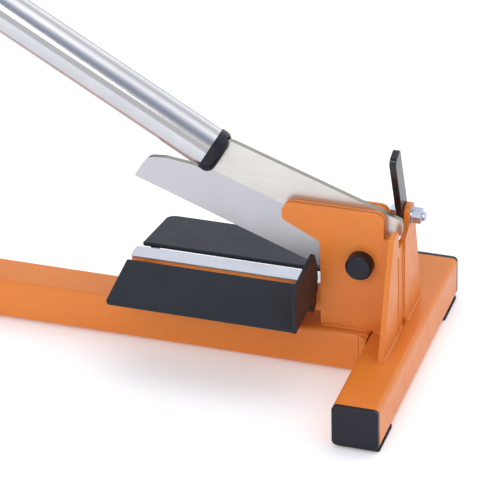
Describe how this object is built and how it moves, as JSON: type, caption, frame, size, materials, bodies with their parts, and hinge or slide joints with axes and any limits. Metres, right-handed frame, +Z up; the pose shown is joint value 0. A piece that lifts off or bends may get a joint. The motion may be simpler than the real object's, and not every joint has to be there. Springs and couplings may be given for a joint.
{
  "type": "mitre guillotine",
  "caption": "Bench mitre guillotine: hinged blade with a long tube handle, anvil strip between two tilting table leaves, catch lever, square-tube base.",
  "frame": {"origin": "middle of the footprint, on the floor", "axes": "+X along the base beam from its free end to the cross beam, +Z up, -Y towards the operator"},
  "size_m": [0.6058, 0.272, 0.4546],
  "materials": {
    "frame_paint": "gloss powder coat",
    "cap_plastic": "satin moulded plastic",
    "table_paint": "satin black powder coat",
    "lever_paint": "gloss black paint",
    "blade_steel": "ground",
    "tube_chrome": "polished",
    "anvil": "satin extruded",
    "zinc": "bright zinc plate",
    "bronze": "machined",
    "rubber": "matt moulded strip"
  },
  "bodies": {
    "frame": {"base_beam": "frame_paint", "cross_beam": "frame_paint", "cross_cap_rear": "cap_plastic", "cross_cap_front": "cap_plastic", "beam_cap": "cap_plastic", "front_cheek": "frame_paint", "rear_cheek": "frame_paint", "front_guide_plate": "frame_paint", "rear_guide_plate": "frame_paint", "front_gusset": "frame_paint", "rear_gusset": "frame_paint", "tower_end_plate": "frame_paint", "pivot_bolt": "zinc", "pivot_nut": "zinc", "pivot_cap_front": "cap_plastic", "pivot_cap_rear": "cap_plastic", "pivot_spacers": "zinc", "catch_bolt": "zinc", "catch_washers": "zinc", "catch_nut": "zinc", "anvil_strip": "anvil", "anvil_rail": "frame_paint", "rail_posts": "frame_paint", "front_hinge_brackets": "frame_paint", "rear_hinge_brackets": "frame_paint", "front_hinge_screws": "zinc", "rear_hinge_screws": "zinc", "cross_foot_rear": "rubber", "cross_foot_front": "rubber", "beam_foot": "rubber"},
    "blade_arm": {"blade": "blade_steel", "blade_bush": "bronze", "handle_tube": "tube_chrome", "handle_socket": "cap_plastic", "tang_pins": "zinc", "handle_end_cap": "cap_plastic"},
    "catch": {"catch_lever": "lever_paint"},
    "front_table": {"front_table_leaf": "table_paint", "front_leaf_lugs": "table_paint"},
    "rear_table": {"rear_table_leaf": "table_paint", "rear_leaf_lugs": "table_paint"},
    "front_knob": {"front_clamp_knob": "cap_plastic"},
    "rear_knob": {"rear_clamp_knob": "cap_plastic"}
  },
  "joints": [
    {"name": "blade_pivot", "type": "hinge", "parent": "frame", "child": "blade_arm", "pos_m": [0.252, 0, 0.113], "axis": [0, -1, 0], "range_deg": [-12.5, 20.8]},
    {"name": "catch_pivot", "type": "hinge", "parent": "frame", "child": "catch", "pos_m": [0.2782, 0.03, 0.145], "axis": [-1, 0, 0], "range_deg": [-24, 70]},
    {"name": "front_table_tilt", "type": "hinge", "parent": "frame", "child": "front_table", "pos_m": [0.122, -0.017, 0.067], "axis": [1, 0, 0], "range_deg": [-9.5, 35.5]},
    {"name": "rear_table_tilt", "type": "hinge", "parent": "frame", "child": "rear_table", "pos_m": [0.122, 0.017, 0.067], "axis": [-1, 0, 0], "range_deg": [-9.5, 35.5]},
    {"name": "front_knob_turn", "type": "hinge", "parent": "frame", "child": "front_knob", "pos_m": [0.205, -0.017, 0.067], "axis": [1, 0, 0], "range_deg": [-180, 180]},
    {"name": "rear_knob_turn", "type": "hinge", "parent": "frame", "child": "rear_knob", "pos_m": [0.205, 0.017, 0.067], "axis": [1, 0, 0], "range_deg": [-180, 180]}
  ]
}
